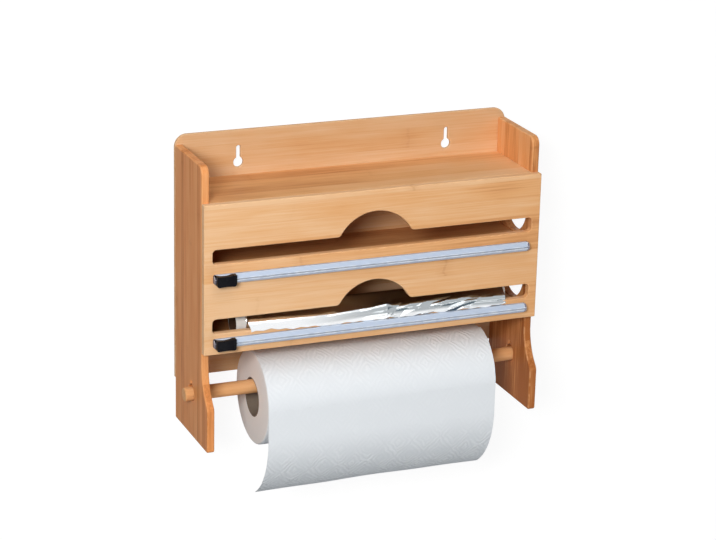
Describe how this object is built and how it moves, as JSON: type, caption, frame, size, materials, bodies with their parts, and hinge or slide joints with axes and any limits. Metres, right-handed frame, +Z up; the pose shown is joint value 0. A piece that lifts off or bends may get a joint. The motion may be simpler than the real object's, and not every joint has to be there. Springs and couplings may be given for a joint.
{
  "type": "wrap dispenser",
  "caption": "Wall-hung bamboo dispenser with slotted wrap compartments, slide cutters, a shelf and a paper towel rod, loaded with foil and towel.",
  "frame": {"origin": "on the wall face, midway between the entry holes of the two keyholes", "axes": "+X to the viewer's right along the slots, +Y towards the wall, +Z up"},
  "size_m": [0.381, 0.1066, 0.3711],
  "materials": {
    "bamboo": "satin",
    "bamboo_inner": "satin",
    "rail_metal": "satin",
    "rail_cap": "satin",
    "adhesive": "matte",
    "slider_black": "gloss",
    "runner_white": "satin",
    "blade_steel": "satin",
    "screw_steel": "satin",
    "towel_paper": "matte",
    "core_card": "matte",
    "core_white": "matte",
    "foil": "gloss"
  },
  "bodies": {
    "frame": {"back_panel": "bamboo", "left_side_panel": "bamboo", "right_side_panel": "bamboo", "front_panel": "bamboo", "top_shelf": "bamboo", "upper_floor": "bamboo_inner", "lower_floor": "bamboo_inner", "back_screws": "screw_steel", "front_pins": "bamboo_inner", "shelf_pins": "bamboo_inner", "upper_rail": "rail_metal", "upper_rail_caps": "rail_cap", "upper_rail_tape": "adhesive", "lower_rail": "rail_metal", "lower_rail_caps": "rail_cap", "lower_rail_tape": "adhesive", "towel_sheet": "towel_paper", "foil_tongue": "foil"},
    "upper_cutter": {"upper_slider": "slider_black", "upper_runner": "runner_white", "upper_blade": "blade_steel"},
    "lower_cutter": {"lower_slider": "slider_black", "lower_runner": "runner_white", "lower_blade": "blade_steel"},
    "rod": {"towel_rod": "bamboo", "rod_pin": "bamboo_inner"},
    "towel_roll": {"towel_core": "core_card", "towel_winding": "towel_paper"},
    "foil_roll": {"foil_core": "core_white", "foil_winding": "foil"}
  },
  "joints": [
    {"name": "upper_cutter_slide", "type": "slide", "parent": "frame", "child": "upper_cutter", "axis": [1, 0, 0], "range_m": [0, 0.315]},
    {"name": "lower_cutter_slide", "type": "slide", "parent": "frame", "child": "lower_cutter", "axis": [1, 0, 0], "range_m": [0, 0.315]},
    {"name": "rod_slide", "type": "slide", "parent": "frame", "child": "rod", "axis": [-1, 0, 0], "range_m": [0, 0.04]},
    {"name": "towel_roll_spin", "type": "hinge", "parent": "frame", "child": "towel_roll", "pos_m": [0, -0.056, -0.23585], "axis": [1, 0, 0], "continuous": true},
    {"name": "foil_roll_spin", "type": "hinge", "parent": "frame", "child": "foil_roll", "pos_m": [0, -0.0705, -0.1459], "axis": [1, 0, 0], "continuous": true}
  ]
}
